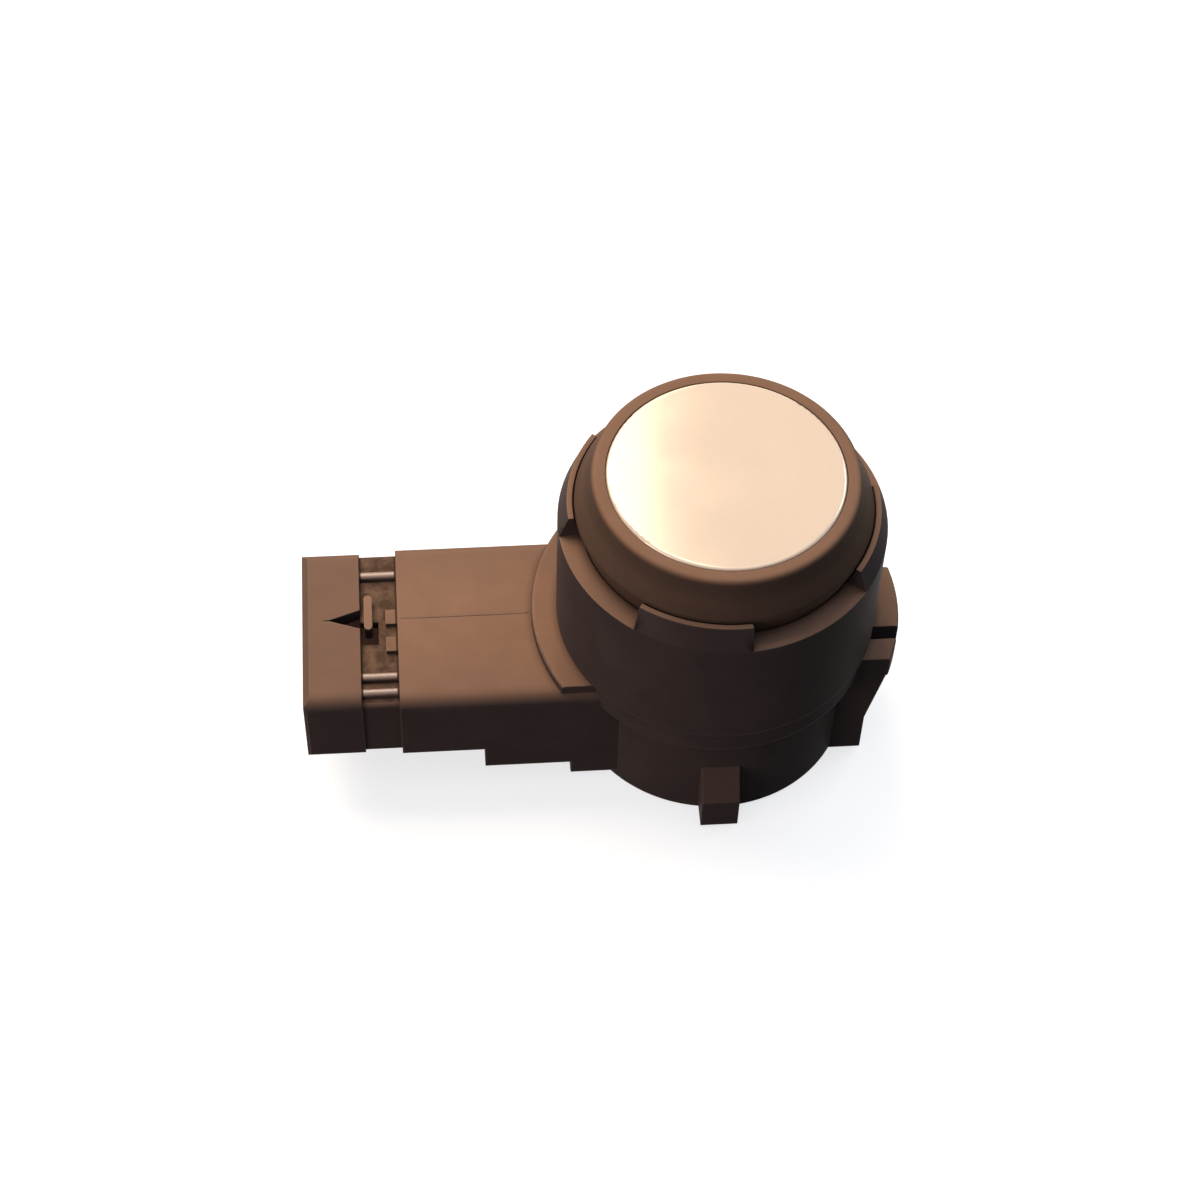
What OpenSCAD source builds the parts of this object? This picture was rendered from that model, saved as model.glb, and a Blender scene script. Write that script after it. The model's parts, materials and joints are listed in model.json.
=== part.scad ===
// Ultrasonic parking sensor: a moulded housing with a right-angle plug socket, a sounding cup held in
// a rubber ring, and the electronics that drive it.
// The origin lies on the sounding axis, in the plane of the flange's seat. +Z points out of the
// sounding face, and the plug socket runs towards -X.

/* [Sounding cup] */
// Diameter of the silver sounding face
face_d = 15.8; // [14.8:0.1:17]
// Height of the face above the flange's seat
face_height = 14.4; // [13.6:0.1:16]
// Length of the metal cup behind the face
cup_length = 8.6; // [8:0.1:9.4]
// Thickness of the cup's side wall
cup_wall = 0.9; // [0.6:0.05:1.2]
// Thickness of the sounding membrane
membrane_t = 0.7; // [0.4:0.05:1.1]
// Rounding of the face's edge
face_round = 0.25; // [0.1:0.05:0.35]
// Diameter of the piezo disc behind the membrane
piezo_d = 7; // [6.6:0.1:8]
// Thickness of the piezo disc
piezo_t = 0.4; // [0.2:0.05:0.6]
// Diameter of the damping pad behind the piezo disc
pad_d = 8.4; // [7.6:0.1:9]
// Thickness of the damping pad
pad_t = 2.2; // [1.4:0.1:2.6]
// Width of the stiffening ring in the cup's open end
stiffener_wall = 1.2; // [0.8:0.05:1.5]
// Height of the stiffening ring
stiffener_h = 2.2; // [1.7:0.1:2.8]
// Thickness of the contact carrier that closes the cup
carrier_t = 1.6; // [1.2:0.1:2]

/* [Decoupling ring] */
// Thickness of the rubber wall round the cup
ring_wall = 1.3; // [1:0.05:1.6]
// Rounding of the ring's upper shoulder
ring_round = 0.5; // [0.2:0.05:0.7]
// Step from the face down to the ring's lip
ring_step = 0.1; // [0:0.05:0.4]
// Height of the wider foot that grips the housing
ring_foot_h = 3.4; // [2.6:0.1:4]
// Thickness of the rubber floor under the cup
ring_floor = 1; // [0.7:0.05:1.4]
// Width of the floor's seat under the contact carrier
ring_seat = 0.8; // [0.5:0.05:1.2]
// Amount that the wall draws in below the collar's teeth
ring_draw = 0.2; // [0.05:0.05:0.4]

/* [Collar] */
// Open groove between the rubber ring and the collar
collar_gap = 0.3; // [0.25:0.05:0.6]
// Wall of the barrel outside the groove
barrel_wall = 1.5; // [1.4:0.05:1.8]
// Height of the notch floors above the flange's seat
ledge_height = 9.65; // [9.2:0.05:10.2]
// Height of the teeth above the notch floors
tooth_h = 1.75; // [1.2:0.05:2]
// Amount that a tooth's outer face leans in
tooth_lean = 0.6; // [0.3:0.05:0.65]
// Amount that a tooth's inner face leans out
tooth_flare = 0.55; // [0.2:0.05:0.6]
// Number of notches round the collar
notch_count = 4; // [3:1:6]
// Angle that each notch spans
notch_angle = 48; // [25:1:55]
// Angle from +X to the first notch
notch_turn = 5; // [0:1:20]

/* [Flange and latch] */
// Reach of the flange beyond the barrel
flange_reach = 1.75; // [1.4:0.05:2.1]
// Thickness of the flange
flange_t = 2; // [1.6:0.1:2.6]
// Rounding of the flange's edges
flange_round = 0.25; // [0.1:0.05:0.4]
// Reach of the flange's wing over the plug socket, towards -Y
plug_wing_near = 6.4; // [5.8:0.1:6.8]
// Reach of that wing towards +Y
plug_wing_far = 8.2; // [6.4:0.1:8.8]
// Width of the flange's wing on the latch side
latch_wing_w = 10.6; // [9.8:0.1:11.4]
// Width of the latch tongue
tongue_w = 5.1; // [4.4:0.1:5.6]
// Width of the slits beside the tongue
slit_w = 1.05; // [0.8:0.05:1.3]
// Thickness of the latch tongue
tongue_t = 0.9; // [0.7:0.05:1.1]
// Room behind the latch tongue
tongue_gap = 0.5; // [0.3:0.05:0.7]
// Length of the latch tongue below the flange
tongue_drop = 5.2; // [4:0.1:6]
// Reach of the ribs beside the tongue, at the rear
rib_reach = 10.45; // [10.2:0.05:10.8]
// Extra reach of those ribs under the flange
rib_flare = 1; // [0.6:0.05:1.1]
// Height of that flare
rib_flare_h = 5; // [4:0.1:6]

/* [Body] */
// Diameter of the rear body
body_d = 19.6; // [19:0.1:20.6]
// Depth of the rear body below the flange's seat
body_depth = 11; // [10.4:0.1:12]
// Wall of the rear body beside the circuit board
body_wall = 1.25; // [1:0.05:1.5]
// Rounding of the rear edge
body_round = 0.4; // [0.2:0.05:0.5]
// Step inside the barrel below the flange's seat
skirt_step = 0.25; // [0.1:0.05:0.4]
// Thickness of the wall between the cup and the electronics
partition_t = 1.4; // [1:0.1:1.8]
// Diameter of the opening in that wall
opening_d = 9; // [8:0.1:10]
// Shoulder that the circuit board and the rear cover seat on
seat_w = 0.7; // [0.5:0.05:0.9]
// Width of the guide tabs on the body's sides
tab_w = 2.6; // [2:0.1:3.4]
// Place of the guide tabs along X
tab_x = -0.2; // [-1:0.1:1]
// Reach of the guide tabs from the axis
tab_reach = 11.3; // [10.8:0.1:12]
// Height of the guide tabs
tab_h = 5; // [4:0.1:6]
// Height of the slope on top of a guide tab
tab_slope = 2.2; // [1.4:0.1:3]
// Height of the guide tabs and ribs above the rear face
tab_lift = 0.3; // [0.1:0.05:0.8]

/* [Rear closure] */
// Thickness of the rear cover
cover_t = 1.2; // [0.9:0.05:1.5]
// Depth of the rear cover inside the rear face
cover_recess = 0.2; // [0.1:0.05:0.4]
// Width of the ledge that the rear cover seats on
cover_ledge = 0.35; // [0.25:0.05:0.45]
// Depth of the sealing compound behind the circuit board
compound_t = 3.2; // [2.6:0.1:3.8]

/* [Plug socket] */
// Reach of the socket's mouth from the sounding axis
socket_reach = 28.55; // [26:0.05:31]
// Width of the socket's body
socket_w = 13.7; // [13.4:0.1:15]
// Height of the socket
socket_h = 6.7; // [6.5:0.1:7.4]
// Drop of the socket's top below the flange's seat
socket_drop = 0.6; // [0.2:0.05:0.8]
// Corner radius of the socket
socket_corner = 1.1; // [0.9:0.1:1.6]
// Wall of the socket
socket_wall = 1.1; // [0.9:0.05:1.15]
// Depth of the socket's cavity
cavity_depth = 10.6; // [9.6:0.1:11.6]
// Corner radius of the cavity
cavity_corner = 0.6; // [0.3:0.05:0.8]
// Lead-in bevel inside the mouth
cavity_bevel = 0.25; // [0.1:0.05:0.35]
// Length of the collar at the mouth
mouth_len = 4; // [3.4:0.05:4.6]
// Step from the body's sides in to the collar's sides
mouth_step = 0.22; // [0.1:0.02:0.5]
// Bevel round the mouth
mouth_bevel = 0.45; // [0.2:0.05:0.6]
// Width of the groove behind the collar
groove_w = 2.55; // [2:0.05:3]
// Depth of the groove on top and below
groove_depth = 0.45; // [0.3:0.05:0.55]
// Depth of the groove at the sides
groove_side = 0.15; // [0.1:0.01:0.3]
// Length of the pointed notch in the collar
point_len = 2.1; // [1.4:0.05:2.4]
// Width of the pointed notch
point_w = 1.6; // [1:0.05:1.8]
// Sideways place of the pointed notch
point_y = 0.45; // [-0.5:0.05:1]
// Length of the fine slit that runs on from the notch's tip
slit_len = 0.7; // [0.3:0.05:1]
// Width of that slit where it leaves the notch
slit_root = 0.1; // [0.06:0.02:0.16]
// Length of the window in the groove behind the notch
window_len = 1.25; // [1:0.05:1.5]
// Width of that window
window_w = 1.9; // [1.5:0.05:2.1]
// Width of the nub in the groove
nub_w = 0.56; // [0.4:0.02:0.7]
// Length of the nub in the groove
nub_len = 2.9; // [2.2:0.1:3.2]
// Length of the two pads behind the window
pad_len = 0.8; // [0.5:0.05:0.9]
// Width of those pads
pad_w = 1.2; // [0.8:0.05:1.4]
// Distance between those pads
pad_pitch = 2.3; // [1.8:0.05:2.5]
// Drop of those pads below the socket's top
pad_drop = 0.12; // [0.05:0.01:0.2]
// Width of the ribs that bridge the groove
bridge_w = 0.7; // [0.5:0.05:0.8]
// Sideways place of the outer pair of those ribs
bridge_y = 4.3; // [3.8:0.1:4.6]
// Distance from the near rib to its twin
bridge_pitch = 1.3; // [1.1:0.05:1.4]
// Reach of the deeper root behind the socket
root_reach = 16.3; // [15.4:0.1:17.2]
// Depth of that root below the socket
root_drop = 2.1; // [1:0.1:2.6]
// Reach of the body's heel under the root
heel_reach = 10.3; // [9.8:0.1:11]

/* [Terminals] */
// Distance between the plug terminals
terminal_pitch = 3; // [2.54:0.01:3.5]
// Side of a terminal's square section
terminal_w = 0.64; // [0.5:0.02:0.8]
// Distance from the socket's mouth to the terminal tips
tip_depth = 4.4; // [4.2:0.1:5]
// Taper at a terminal's tip
tip_taper = 0.18; // [0.1:0.02:0.24]
// Reach of the terminals' bends from the axis
bend_reach = 6.2; // [5.9:0.05:6.4]
// Distance between the two contact pins of the cup
pin_pitch = 3.2; // [2.8:0.1:3.6]
// Place of the contact pins along X
pin_x = 2.6; // [2.3:0.05:2.9]
// Diameter of a contact pin
pin_d = 0.6; // [0.5:0.02:0.7]
// Height of a contact pin above its carrier
pin_rise = 0.6; // [0.3:0.05:0.9]
// Length of the solder tails behind the circuit board
tail_len = 0.8; // [0.5:0.05:1.2]
// Diameter of the lead wires in the cup
lead_d = 0.3; // [0.2:0.02:0.36]
// Bend radius of the ground lead
lead_bend = 0.5; // [0.4:0.05:0.6]
// Sideways run of the ground lead
lead_run = 3.4; // [3.2:0.1:3.8]

/* [Electronics] */
// Thickness of the circuit board
board_t = 1; // [0.8:0.05:1.6]
// Room between the board's parts and the chamber's wall
wall_room = 0.4; // [0.3:0.05:0.6]
// Angle from +X to the control chip
chip_turn = 246; // [243:1:249]
// Angle from +X to the transformer
transformer_turn = 112; // [109:1:115]
// Angle from +X to the storage capacitor
can_turn = -43; // [-45:1:-41]
// Angle from +X to the protection diode
diode_turn = 45; // [43:1:48]
// Angle from +X to the two outer ceramic capacitors
ceramic_turn = 69; // [68:1:72]
// Side of the control chip
chip_w = 4.8; // [4:0.1:5]
// Height of the control chip
chip_h = 0.9; // [0.7:0.05:1.2]
// Length of the transformer's base
base_l = 5.4; // [5:0.1:5.6]
// Width of the transformer's base
base_w = 5; // [4.8:0.1:5.2]
// Thickness of the transformer's base
base_t = 0.9; // [0.6:0.05:1.2]
// Diameter of the transformer's ferrite core
core_d = 4.8; // [4.4:0.1:4.8]
// Diameter of the core's post
post_d = 2.2; // [1.8:0.1:2.6]
// Thickness of the core's flanges
core_flange_t = 0.6; // [0.4:0.05:0.8]
// Height of the winding between the flanges
winding_h = 2.2; // [1.6:0.1:2.6]
// Depth of the winding inside the flanges' edge
winding_inset = 0.25; // [0.1:0.05:0.4]
// Diameter of the storage capacitor
can_d = 3.6; // [3:0.1:3.7]
// Height of the storage capacitor
can_h = 5; // [4:0.1:5.4]
// Rounding of the storage capacitor's top edge
can_round = 0.4; // [0.2:0.05:0.6]
// Length of a chip resistor or ceramic capacitor
chip_part_l = 1.6; // [1.2:0.05:1.8]
// Width of a chip resistor or ceramic capacitor
chip_part_w = 0.8; // [0.6:0.05:0.9]
// Height of a ceramic capacitor
ceramic_h = 0.8; // [0.6:0.05:1]
// Height of a resistor
resistor_h = 0.45; // [0.35:0.05:0.6]
// Distance between the resistors
resistor_pitch = 2.2; // [1.9:0.1:2.4]
// Length of the protection diode
diode_l = 2.6; // [2.2:0.1:2.8]
// Width of the protection diode
diode_w = 1.6; // [1.2:0.05:1.8]
// Height of the protection diode
diode_h = 1.1; // [0.8:0.05:1.3]

/* [Fits] */
// Clearance between round pieces that seat in one another
snug = 0.02; // [0.01:0.01:0.05]
// Clearance round the circuit board and the rear cover
loose = 0.05; // [0.03:0.01:0.1]
// Clearance of a solder hole round its pin
solder_gap = 0.1; // [0.05:0.01:0.15]

/* [Hidden] */
$fn = 96;

// Overshoot of a cutter past the face that it cuts
over = 1;

// Radii outwards from the sounding axis
face_r = face_d / 2;
cup_bore_r = face_r - cup_wall;
carrier_r = cup_bore_r - stiffener_wall - snug;
ring_in_r = face_r + snug;
ring_r = face_r + ring_wall;
collar_in_r = ring_r + collar_gap;
barrel_r = collar_in_r + barrel_wall;
flange_r = barrel_r + flange_reach;
skirt_r = barrel_r - skirt_step;
body_r = body_d / 2;
board_bore_r = body_r - body_wall;
chamber_r = board_bore_r - seat_w;
cover_bore_r = board_bore_r + cover_ledge;

// Heights of the sounding cup's stack
cup_floor = face_height - cup_length;
membrane_in = face_height - membrane_t;
piezo_back = membrane_in - piezo_t;
pad_back = piezo_back - pad_t;
pocket_floor = cup_floor - ring_floor;
ring_top = face_height - ring_step;
foot_top = pocket_floor + ring_foot_h;
tooth_top = ledge_height + tooth_h;
pin_top = cup_floor + carrier_t + pin_rise;
chamber_roof = pocket_floor - partition_t;

// Heights of the rear closure and the board
rear = -body_depth;
cover_back = rear + cover_recess;
cover_top = cover_back + cover_t;
board_back = cover_top + compound_t;
board_top = board_back + board_t;
tail_end = board_back - tail_len;

// Places along the plug socket
mouth = -socket_reach;
groove_from = mouth + mouth_len;
groove_to = groove_from + groove_w;
cavity_end = mouth + cavity_depth;
socket_top = -socket_drop;
socket_mid = socket_top - socket_h / 2;
mouth_w = socket_w - 2 * mouth_step;
terminal_tip = mouth + tip_depth;

// Flat plate with rounded corners, centred
module rounded_plate(width, height, corner) {
    square([width - 2 * corner, height], center = true);
    square([width, height - 2 * corner], center = true);
    for (x = [-1, 1], y = [-1, 1])
        translate([x * (width / 2 - corner), y * (height / 2 - corner)])
            circle(corner);
}

// Carries a Y-Z outline along X
module along_x(from, to) {
    translate([from, 0, 0])
        rotate([90, 0, 90])
            linear_extrude(to - from)
                children();
}

// Carries an X-Z outline along Y, centred
module along_y(width) {
    translate([0, width / 2, 0])
        rotate([90, 0, 0])
            linear_extrude(width)
                children();
}

// Box from its low corner to its high corner
module block(low, high) {
    translate(low)
        cube(high - low);
}

// Upright cylinder between two heights
module rod(radius, from, to) {
    translate([0, 0, from])
        cylinder(h = to - from, r = radius);
}

// Barrel with leaning teeth round its top, still solid inside
module barrel() {
    difference() {
        rotate_extrude()
            polygon([
                [0, 0], [barrel_r, 0], [barrel_r, ledge_height],
                [barrel_r - tooth_lean, tooth_top], [0, tooth_top]
            ]);
        for (k = [0 : notch_count - 1])
            rotate([0, 0, notch_turn + k * 360 / notch_count])
                translate([0, 0, ledge_height])
                    rotate_extrude(angle = notch_angle)
                        square([barrel_r + over, tooth_h + over]);
    }
    rod(skirt_r, -flange_t, 0);
}

// Flange disc with rounded edges, its seat at height zero
module flange_disc() {
    rotate_extrude()
        intersection() {
            translate([0, -flange_t / 2])
                rounded_plate(2 * flange_r, flange_t, flange_round);
            translate([0, -flange_t])
                square([flange_r, flange_t]);
        }
}

// The flange's two wings, over the plug socket and on the latch side
module flange_wings() {
    intersection() {
        flange_disc();
        union() {
            block([-flange_r - over, -plug_wing_near, -flange_t], [0, plug_wing_far, 0]);
            difference() {
                block([0, -latch_wing_w / 2, -flange_t], [flange_r + over, latch_wing_w / 2, 0]);
                for (side = [-1, 1])
                    translate([0, side * (tongue_w + slit_w) / 2, 0])
                        block(
                            [0, -slit_w / 2, -flange_t - over],
                            [flange_r + 2 * over, slit_w / 2, over]
                        );
            }
        }
    }
}

// Spring tongue that hangs from the latch wing, and the rib on each side of it
module latch() {
    tongue_from = body_r + tongue_gap;
    block(
        [tongue_from, -tongue_w / 2, -flange_t - tongue_drop],
        [tongue_from + tongue_t, tongue_w / 2, -flange_t / 2]
    );
    rib_w = (latch_wing_w - tongue_w) / 2 - slit_w;
    for (side = [-1, 1])
        translate([0, side * (latch_wing_w - rib_w) / 2, 0])
            along_y(rib_w)
                polygon([
                    [chamber_r, rear + tab_lift],
                    [rib_reach, rear + tab_lift],
                    [rib_reach, -flange_t - rib_flare_h],
                    [rib_reach + rib_flare, -flange_t],
                    [chamber_r, -flange_t]
                ]);
}

// Rear body with a rounded rear edge
module rear_body() {
    rotate_extrude() {
        translate([0, rear + body_round])
            square([body_r, body_depth - body_round]);
        translate([0, rear])
            square([body_r - body_round, body_round]);
        translate([body_r - body_round, rear + body_round])
            circle(body_round);
    }
}

// Guide tab with a sloped top, reaching towards -Y
module guide_tab() {
    translate([tab_x, 0, 0])
        rotate([0, 0, -90])
            along_y(tab_w)
                polygon([
                    [chamber_r, rear + tab_lift],
                    [tab_reach, rear + tab_lift],
                    [tab_reach, rear + tab_lift + tab_h - tab_slope],
                    [body_r, rear + tab_lift + tab_h],
                    [chamber_r, rear + tab_lift + tab_h]
                ]);
}

// Bevelled outline of the socket, seen along one of its sides
module bevelled_reach(half) {
    polygon([
        [mouth, mouth_bevel - half], [mouth + mouth_bevel, -half], [0, -half],
        [0, half], [mouth + mouth_bevel, half], [mouth, half - mouth_bevel]
    ]);
}

// Round-topped ribs that bridge the groove
module groove_ribs() {
    for (y = [bridge_y, -bridge_y, -bridge_y - bridge_pitch])
        translate([0, y, 0])
            along_x(groove_from, groove_to) {
                translate([-bridge_w / 2, 0])
                    square([bridge_w, (socket_h - bridge_w) / 2]);
                translate([0, (socket_h - bridge_w) / 2])
                    circle(bridge_w / 2);
            }
}

// Two pads that stand in the groove against the body's end
module groove_pads() {
    middle = point_y - window_w / 2;
    for (side = [-1, 1])
        translate([0, middle + side * pad_pitch / 2, 0])
            block([groove_to - pad_len, -pad_w / 2, 0], [groove_to, pad_w / 2, socket_h / 2 - pad_drop]);
}

// Upright nub with round ends, beside the pointed notch
module groove_nub() {
    middle_x = groove_from + nub_w;
    middle_y = point_y + nub_w;
    half = (nub_len - nub_w) / 2;
    translate([middle_x, middle_y, 0])
        linear_extrude(socket_h / 2) {
            square([nub_w, 2 * half], center = true);
            for (end = [-half, half])
                translate([0, end])
                    circle(nub_w / 2);
        }
}

// Outside of the plug socket, centred on its own height
module socket_outside() {
    intersection() {
        union() {
            along_x(groove_to, 0)
                rounded_plate(socket_w, socket_h, socket_corner);
            along_x(groove_from, groove_to)
                rounded_plate(
                    mouth_w - 2 * groove_side, socket_h - 2 * groove_depth,
                    socket_corner - groove_depth
                );
            along_x(mouth, groove_from)
                rounded_plate(mouth_w, socket_h, socket_corner);
            groove_ribs();
            groove_pads();
        }
        translate([0, 0, -socket_h])
            linear_extrude(2 * socket_h)
                bevelled_reach(socket_w / 2);
        along_y(2 * socket_w)
            bevelled_reach(socket_h / 2);
    }
}

// Block behind the socket, from the socket's top down to the given height
module socket_root(reach, bottom) {
    translate([0, 0, (socket_top + bottom) / 2])
        along_x(-reach, 0)
            rounded_plate(socket_w, socket_top - bottom, socket_corner);
}

// Pointed notch through the collar's top wall, with a slit ahead of it and a window behind it
module pointed_notch() {
    tip = groove_from - point_len;
    linear_extrude(socket_h) {
        polygon([
            [tip - slit_len, point_y],
            [tip, point_y - slit_root / 2],
            [groove_from, point_y - point_w / 2],
            [groove_from, point_y + point_w / 2],
            [tip, point_y + slit_root / 2]
        ]);
        translate([groove_from, point_y - window_w])
            square([window_len, window_w]);
    }
}

// Outline of the cavity's lead-in, seen along one of its sides
module flared_reach(half) {
    wide = half + cavity_bevel + over;
    polygon([
        [mouth - over, -wide], [mouth + cavity_bevel, -half],
        [mouth + cavity_bevel, half], [mouth - over, wide]
    ]);
}

// Cavity that takes the plug, with a lead-in at its mouth
module socket_cavity() {
    cavity_w = mouth_w - 2 * socket_wall;
    cavity_h = socket_h - 2 * socket_wall;
    along_x(mouth - over, cavity_end)
        rounded_plate(cavity_w, cavity_h, cavity_corner);
    intersection() {
        translate([0, 0, -socket_h])
            linear_extrude(2 * socket_h)
                flared_reach(cavity_w / 2);
        along_y(2 * socket_w)
            flared_reach(cavity_h / 2);
    }
}

// Square terminal that runs back from the socket, turns down and passes through the board
module terminal_bar(y) {
    half = terminal_w / 2;
    turn_x = -bend_reach;
    translate([0, y, 0])
        along_y(terminal_w)
            polygon([
                [terminal_tip, socket_mid - half + tip_taper],
                [terminal_tip + terminal_w, socket_mid - half],
                [turn_x - half, socket_mid - half],
                [turn_x - half, tail_end],
                [turn_x + half, tail_end],
                [turn_x + half, socket_mid + half],
                [terminal_tip + terminal_w, socket_mid + half],
                [terminal_tip, socket_mid + half - tip_taper]
            ]);
}

// Round contact pin of the sounding cup
module contact_pin(y) {
    translate([pin_x, y, 0])
        rod(pin_d / 2, tail_end, pin_top);
}

// Room inside the housing for the cup, the board and the rear cover
module housing_room() {
    rotate_extrude()
        polygon([
            [0, pocket_floor], [collar_in_r, pocket_floor], [collar_in_r, ledge_height],
            [collar_in_r + tooth_flare, tooth_top], [collar_in_r + tooth_flare, tooth_top + over],
            [0, tooth_top + over]
        ]);
    rod(opening_d / 2, chamber_roof - over, pocket_floor + over);
    rod(chamber_r, board_top - over, chamber_roof);
    rod(board_bore_r, cover_top - over, board_top);
    rod(cover_bore_r, rear - over, cover_top);
}

module housing() {
    color([0.16, 0.13, 0.11])
        difference() {
            union() {
                barrel();
                flange_wings();
                latch();
                rear_body();
                guide_tab();
                mirror([0, 1, 0])
                    guide_tab();
                translate([0, 0, socket_mid])
                    union() {
                        difference() {
                            socket_outside();
                            pointed_notch();
                        }
                        groove_nub();
                    }
                socket_root(root_reach, socket_top - socket_h - root_drop);
                socket_root(heel_reach, rear + tab_lift);
            }
            housing_room();
            translate([0, 0, socket_mid])
                socket_cavity();
            for (k = [-1, 0, 1])
                terminal_bar(k * terminal_pitch);
        }
}

module rear_cover() {
    color([0.13, 0.12, 0.11])
        rod(cover_bore_r - loose, cover_back, cover_top);
}

module sealing_compound() {
    color([0.1, 0.1, 0.11])
        difference() {
            rod(board_bore_r - snug, cover_top, board_back);
            for (k = [-1, 0, 1])
                terminal_bar(k * terminal_pitch);
            for (side = [-1, 1])
                translate([pin_x, side * pin_pitch / 2, 0])
                    rod(pin_d / 2 + snug, tail_end, board_back + over);
        }
}

module decoupling_ring() {
    grip_r = collar_in_r - snug;
    draw_r = ring_r - ring_draw;
    draw_z = tooth_top + ring_draw;
    color([0.12, 0.1, 0.09])
        rotate_extrude()
            difference() {
                union() {
                    square([ring_r - ring_round, ring_top]);
                    translate([0, draw_z])
                        square([ring_r, ring_top - ring_round - draw_z]);
                    translate([ring_r - ring_round, ring_top - ring_round])
                        circle(ring_round);
                    polygon([[0, foot_top], [draw_r, foot_top], [ring_r, draw_z], [0, draw_z]]);
                    square([grip_r, foot_top]);
                }
                translate([0, -over])
                    square([2 * grip_r, pocket_floor + over]);
                square([carrier_r - ring_seat, ring_top + over]);
                translate([0, cup_floor])
                    square([ring_in_r, cup_length + over]);
            }
}

module membrane_cup() {
    color([0.86, 0.83, 0.78])
        rotate_extrude()
            difference() {
                union() {
                    translate([0, cup_floor])
                        square([face_r, cup_length - face_round]);
                    translate([0, cup_floor])
                        square([face_r - face_round, cup_length]);
                    translate([face_r - face_round, face_height - face_round])
                        circle(face_round);
                }
                translate([0, cup_floor - over])
                    square([cup_bore_r, cup_length - membrane_t + over]);
            }
}

module stiffening_ring() {
    color([0.62, 0.62, 0.6])
        difference() {
            rod(cup_bore_r - snug, cup_floor, cup_floor + stiffener_h);
            rod(cup_bore_r - stiffener_wall, cup_floor - over, cup_floor + stiffener_h + over);
        }
}

module piezo_disc() {
    color([0.78, 0.74, 0.6])
        rod(piezo_d / 2, piezo_back, membrane_in);
}

module damping_pad() {
    color([0.35, 0.36, 0.38])
        difference() {
            rod(pad_d / 2, pad_back, piezo_back);
            translate([pin_x, pin_pitch / 2, 0])
                rod(lead_d / 2 + snug, pad_back - over, piezo_back + over);
        }
}

module contact_carrier() {
    color([0.2, 0.2, 0.21])
        difference() {
            rod(carrier_r, cup_floor, cup_floor + carrier_t);
            for (side = [-1, 1])
                translate([pin_x, side * pin_pitch / 2, 0])
                    rod(pin_d / 2 + snug, cup_floor - over, cup_floor + carrier_t + over);
        }
}

module signal_pin() {
    color([0.8, 0.7, 0.4])
        contact_pin(pin_pitch / 2);
}

module ground_pin() {
    color([0.8, 0.7, 0.4])
        contact_pin(-pin_pitch / 2);
}

module signal_lead() {
    color([0.72, 0.2, 0.14])
        translate([pin_x, pin_pitch / 2, 0])
            rod(lead_d / 2, pin_top, piezo_back);
}

module ground_lead() {
    start_y = -pin_pitch / 2;
    end_y = start_y - lead_run;
    run_z = pin_top + 2 * lead_bend;
    color([0.12, 0.12, 0.13])
        translate([pin_x, 0, 0]) {
            translate([0, start_y, 0])
                rod(lead_d / 2, pin_top, run_z - lead_bend);
            translate([0, start_y - lead_bend, run_z - lead_bend])
                rotate([90, 0, 90])
                    lead_elbow();
            translate([0, start_y - lead_bend, run_z])
                rotate([90, 0, 0])
                    rod(lead_d / 2, 0, lead_run - 2 * lead_bend);
            translate([0, end_y + lead_bend, run_z + lead_bend])
                rotate([90, 0, 90])
                    rotate([0, 0, 180])
                        lead_elbow();
            translate([0, end_y, 0])
                rod(lead_d / 2, run_z + lead_bend, membrane_in);
        }
}

// Quarter bend of a lead wire, from +X to +Y
module lead_elbow() {
    rotate_extrude(angle = 90)
        translate([lead_bend, 0])
            circle(lead_d / 2);
}

module circuit_board() {
    hole_w = terminal_w + 2 * solder_gap;
    color([0.1, 0.32, 0.2])
        difference() {
            rod(board_bore_r - loose, board_back, board_top);
            for (k = [-1, 0, 1])
                translate([-bend_reach, k * terminal_pitch, 0])
                    block(
                        [-hole_w / 2, -hole_w / 2, board_back - over],
                        [hole_w / 2, hole_w / 2, board_top + over]
                    );
            for (side = [-1, 1])
                translate([pin_x, side * pin_pitch / 2, 0])
                    rod(pin_d / 2 + solder_gap, board_back - over, board_top + over);
        }
}

// Small rectangular part that stands on the board
module board_part(place, length, width, height) {
    translate([place[0] - length / 2, place[1] - width / 2, board_top])
        cube([length, width, height]);
}

// Place on the board of a part of that half size, as far out as the chamber's wall lets it stand
function by_wall(half, turn) = (chamber_r - wall_room - half) * [cos(turn), sin(turn)];

chip_at = by_wall(norm([chip_w, chip_w]) / 2, chip_turn);
transformer_at = by_wall(norm([base_l, base_w]) / 2, transformer_turn);
can_at = by_wall(can_d / 2, can_turn);
diode_at = by_wall(norm([diode_l, diode_w]) / 2, diode_turn);
core_from = board_top + base_t;
core_to = core_from + 2 * core_flange_t + winding_h;

module control_chip() {
    color([0.09, 0.09, 0.1])
        board_part(chip_at, chip_w, chip_w, chip_h);
}

module transformer_base() {
    color([0.14, 0.14, 0.15])
        board_part(transformer_at, base_l, base_w, base_t);
}

module transformer_core() {
    color([0.28, 0.27, 0.27])
        translate([transformer_at[0], transformer_at[1], 0]) {
            rod(core_d / 2, core_from, core_from + core_flange_t);
            rod(post_d / 2, core_from, core_to);
            rod(core_d / 2, core_to - core_flange_t, core_to);
        }
}

module transformer_winding() {
    color([0.7, 0.38, 0.16])
        translate([transformer_at[0], transformer_at[1], core_from + core_flange_t])
            difference() {
                rod(core_d / 2 - winding_inset, 0, winding_h);
                rod(post_d / 2 + snug, -over, winding_h + over);
            }
}

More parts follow.
